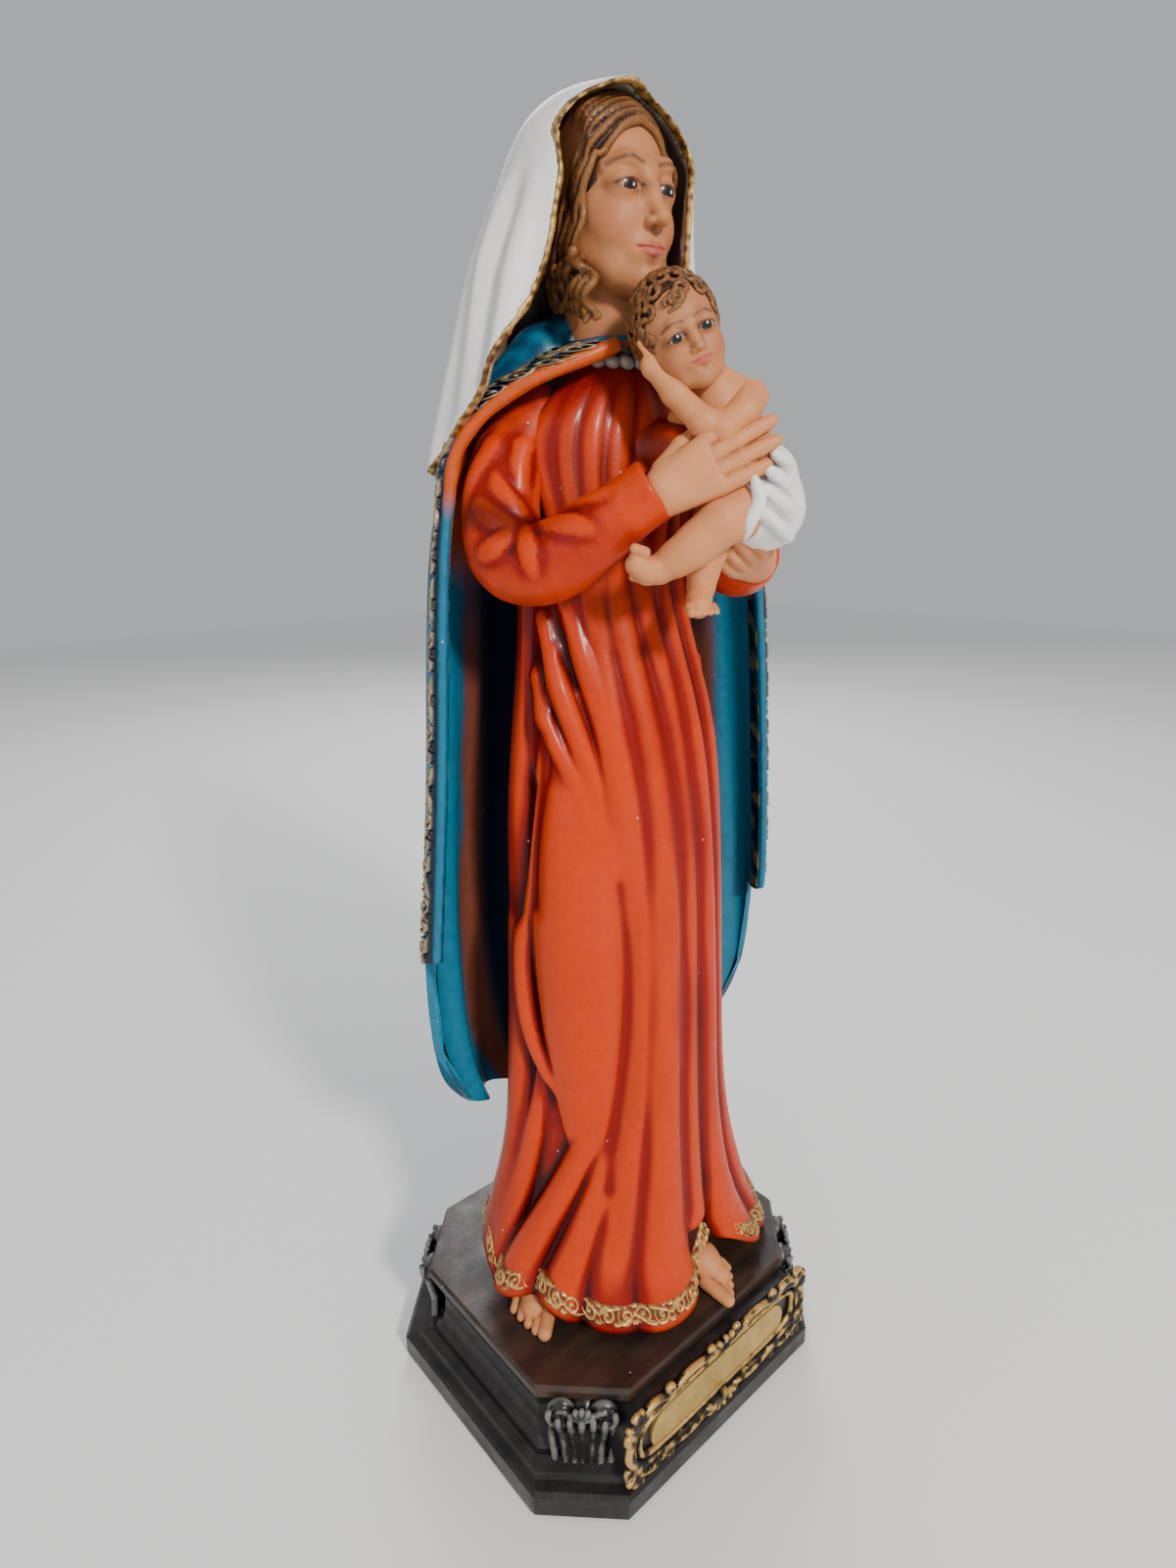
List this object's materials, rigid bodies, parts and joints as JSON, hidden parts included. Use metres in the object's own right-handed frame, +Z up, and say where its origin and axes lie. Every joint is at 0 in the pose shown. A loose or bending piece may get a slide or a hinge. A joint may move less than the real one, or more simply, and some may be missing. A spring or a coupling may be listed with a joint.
{
  "type": "madonna and child statuette",
  "caption": "Painted resin statuette of a veiled woman in a red gown and blue mantle holding a small child, on a black plinth with chamfered corners, scroll brackets and a gold-framed plaque.",
  "frame": {"origin": "centre of the plinth's underside, on the surface that it stands on", "axes": "+Z up the statuette, its longest extent; -Y towards the plinth's plaque; +X to the right as the plaque is faced"},
  "size_m": [0.0665, 0.0584, 0.2],
  "materials": {
    "felt": "black self-adhesive felt, matte",
    "plinth_black": "black paint rubbed back to brown on the high spots, satin",
    "slab_brown": "dark brown brushed paint, satin",
    "aged_gold": "gold dry-brushed over black, semi-matte",
    "plate_gold": "satin gold, blank",
    "gown_red": "pearl red-orange airbrushed darker in the folds, glossy",
    "collar_relief": "dark blue with cream and gold raised scrolls",
    "mantle_blue": "teal blue outside, dark blue inside, satin",
    "trim_gold": "silver-gold raised trim, semi-gloss",
    "veil_white": "off-white, grey in the folds, satin",
    "skin": "peach skin shaded brown, matte",
    "hair_brown": "brown with gold dry-brushing, satin",
    "wrap_white": "white cloth, grey in the folds, satin",
    "steel_wire": "plain wire"
  },
  "bodies": {
    "root": {"felt_pad": "felt", "plinth_foot": "plinth_black", "plinth_waist": "plinth_black", "plinth_slab": "slab_brown", "corbel_1": "plinth_black", "corbel_2": "plinth_black", "corbel_3": "plinth_black", "corbel_4": "plinth_black", "plaque_board": "plinth_black", "plaque_frame": "aged_gold", "name_plate": "plate_gold", "gown": "gown_red", "collar": "collar_relief", "hem_band": "trim_gold", "sleeve_right": "gown_red", "sleeve_left": "gown_red", "mantle": "mantle_blue", "border_right": "trim_gold", "border_left": "trim_gold", "veil": "veil_white", "veil_edge_right": "trim_gold", "veil_edge_left": "trim_gold", "hair": "hair_brown", "head": "skin", "hand_right": "skin", "hand_left": "skin", "foot_right": "skin", "foot_left": "skin", "child_head": "skin", "child_hair": "hair_brown", "child_torso": "skin", "child_arm_near": "skin", "child_arm_far": "skin", "child_leg_near": "skin", "child_leg_far": "skin", "child_wrap": "wrap_white", "dowels": "steel_wire", "neck_peg": "steel_wire", "child_peg": "steel_wire"}
  },
  "joints": []
}
